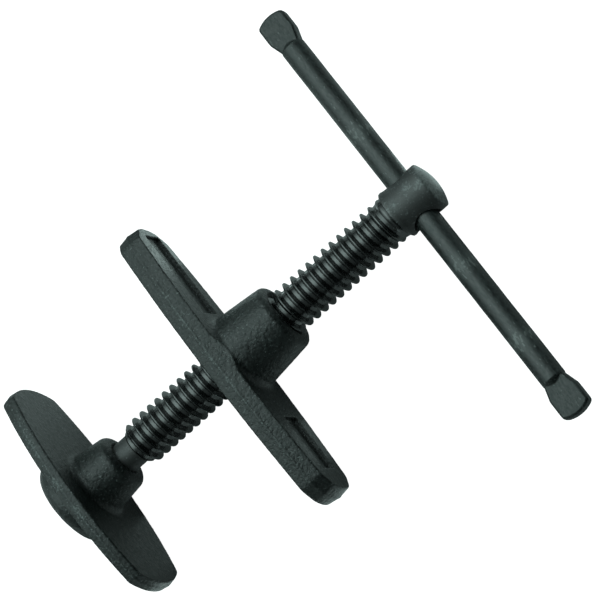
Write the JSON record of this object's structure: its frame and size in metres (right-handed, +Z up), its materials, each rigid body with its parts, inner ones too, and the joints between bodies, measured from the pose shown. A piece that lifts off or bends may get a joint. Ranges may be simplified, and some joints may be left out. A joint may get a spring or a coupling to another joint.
{
  "type": "brake caliper piston tool",
  "caption": "T-handle screw press for pushing a brake piston back into its caliper: forged nut plate on a lead screw, swivelling pressure plate and sliding tommy bar.",
  "frame": {"origin": "on the screw's axis, in the plane of the pressure plate's far face, which bears on the piston", "axes": "+X along the screw's axis towards the handle, +Y along the tommy bar and the plates' length, +Z up for the tool lying on its plates' long edges"},
  "size_m": [0.1943, 0.1974, 0.0512],
  "materials": {
    "forged_black": "matte black oxide on a forged skin",
    "screw_black": "oiled black oxide",
    "bar_black": "black oxide, rubbed",
    "spring_steel": "tempered"
  },
  "bodies": {
    "nut_plate": {"nut_plate": "forged_black"},
    "snap_ring": {"snap_ring": "spring_steel"},
    "screw": {"screw": "screw_black"},
    "tommy_bar": {"tommy_bar": "bar_black"},
    "pressure_plate": {"pressure_plate": "forged_black"}
  },
  "joints": [
    {"name": "screw_travel", "type": "slide", "parent": "nut_plate", "child": "snap_ring", "axis": [1, 0, 0], "range_m": [-0.05601, 0.05201]},
    {"name": "screw_turn", "type": "hinge", "parent": "snap_ring", "child": "screw", "pos_m": [0, 0, 0], "axis": [1, 0, 0], "range_deg": [-5040, 4680]},
    {"name": "plate_swivel", "type": "hinge", "parent": "snap_ring", "child": "pressure_plate", "pos_m": [0.006, 0, 0], "axis": [1, 0, 0], "continuous": true},
    {"name": "bar_slide", "type": "slide", "parent": "screw", "child": "tommy_bar", "axis": [0, 0.9981, -0.061], "range_m": [-0.066, 0.075]}
  ],
  "couplings": [
    {"joint": "screw_travel", "follows": "screw_turn", "m_per_rad": 0.00063662}
  ]
}
